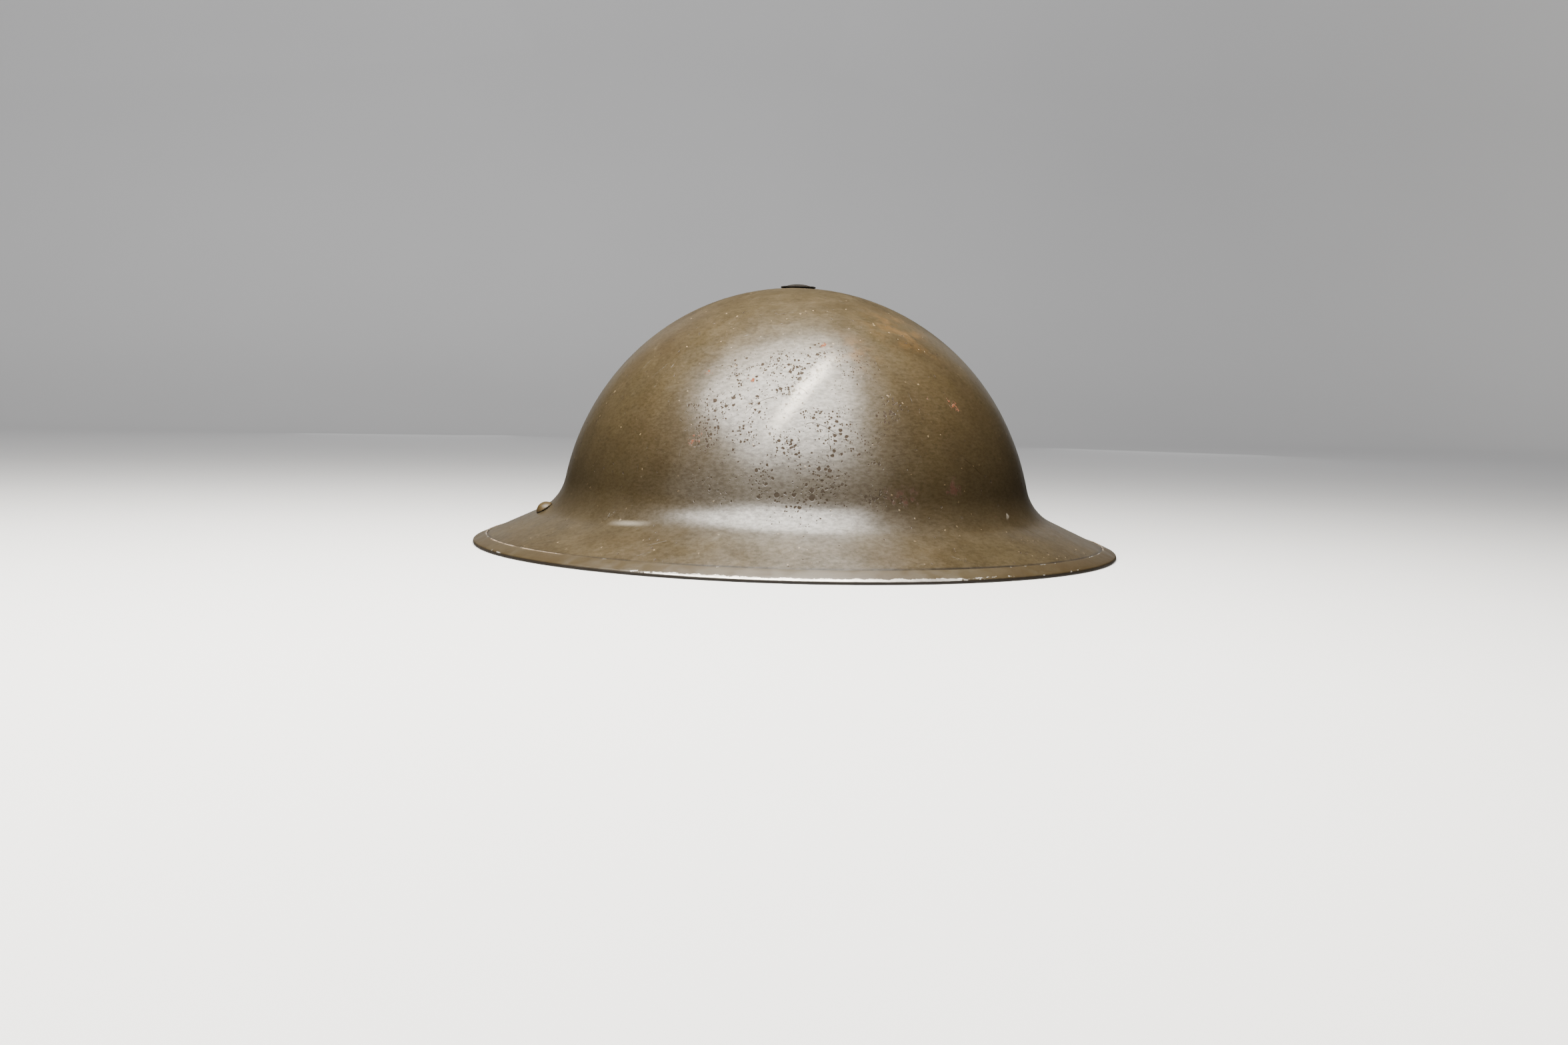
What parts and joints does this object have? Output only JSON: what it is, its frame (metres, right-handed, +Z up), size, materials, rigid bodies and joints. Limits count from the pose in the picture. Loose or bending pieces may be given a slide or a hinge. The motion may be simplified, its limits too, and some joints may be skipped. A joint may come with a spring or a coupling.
{
  "type": "steel helmet with brim",
  "caption": "Wide-brimmed steel helmet with a rolled rim, a bolted-in padded liner and a chin strap on swinging wire bails.",
  "frame": {"origin": "centre of the brim's rest plane, on the floor below the crown bolt", "axes": "+Z up through the crown bolt; -Y is the helmet's front; +X is the wearer's left"},
  "size_m": [0.288, 0.308, 0.1189],
  "materials": {
    "shell_paint": "semi-gloss olive-brown paint, aged, with rust specks and chips",
    "rim_metal": "the same paint on a thin steel band, chipped to bare metal along its lower edge",
    "bolt_steel": "dark worn paint over steel",
    "plain_steel": "dull plated steel",
    "lug_steel": "paint over folded steel strip",
    "wire_steel": "dull drawn wire with traces of paint",
    "clip_steel": "dull plated sheet",
    "rivet_brass": "dull brass",
    "fibre": "hard dark fibre board",
    "oilcloth": "black-brown oiled cloth, padded",
    "pad_rubber": "moulded sponge rubber",
    "buffer_rubber": "grey-black hollow moulded rubber",
    "webbing": "woven cotton webbing"
  },
  "bodies": {
    "helmet": {"shell": "shell_paint", "rim_band": "rim_metal", "crown_bolt": "bolt_steel", "crown_washer": "plain_steel", "clamp_plate": "plain_steel", "crown_nut": "plain_steel", "strap_fore_aft": "fibre", "strap_ear_to_ear": "fibre", "crown_pad": "pad_rubber", "headband": "fibre", "sweatband": "oilcloth", "buffer_front": "buffer_rubber", "buffer_rear": "buffer_rubber", "buffer_left": "buffer_rubber", "buffer_right": "buffer_rubber", "liner_rivets": "rivet_brass", "lug_left": "lug_steel", "lug_right": "lug_steel", "lug_rivet_left": "shell_paint", "lug_rivet_right": "shell_paint", "chin_strap": "webbing", "strap_clip_left": "clip_steel", "strap_clip_right": "clip_steel"},
    "bail_left_body": {"bail_left": "wire_steel", "strap_loop_left": "webbing"},
    "bail_right_body": {"bail_right": "wire_steel", "strap_loop_right": "webbing"}
  },
  "joints": [
    {"name": "bail_left_swing", "type": "hinge", "parent": "helmet", "child": "bail_left_body", "pos_m": [0.10373, 0, 0.01702], "axis": [0, 1, 0], "range_deg": [-38, 100], "deforming": ["strap_loop_left"]},
    {"name": "bail_right_swing", "type": "hinge", "parent": "helmet", "child": "bail_right_body", "pos_m": [-0.10373, 0, 0.01702], "axis": [0, -1, 0], "range_deg": [-38, 100], "deforming": ["strap_loop_right"]}
  ]
}
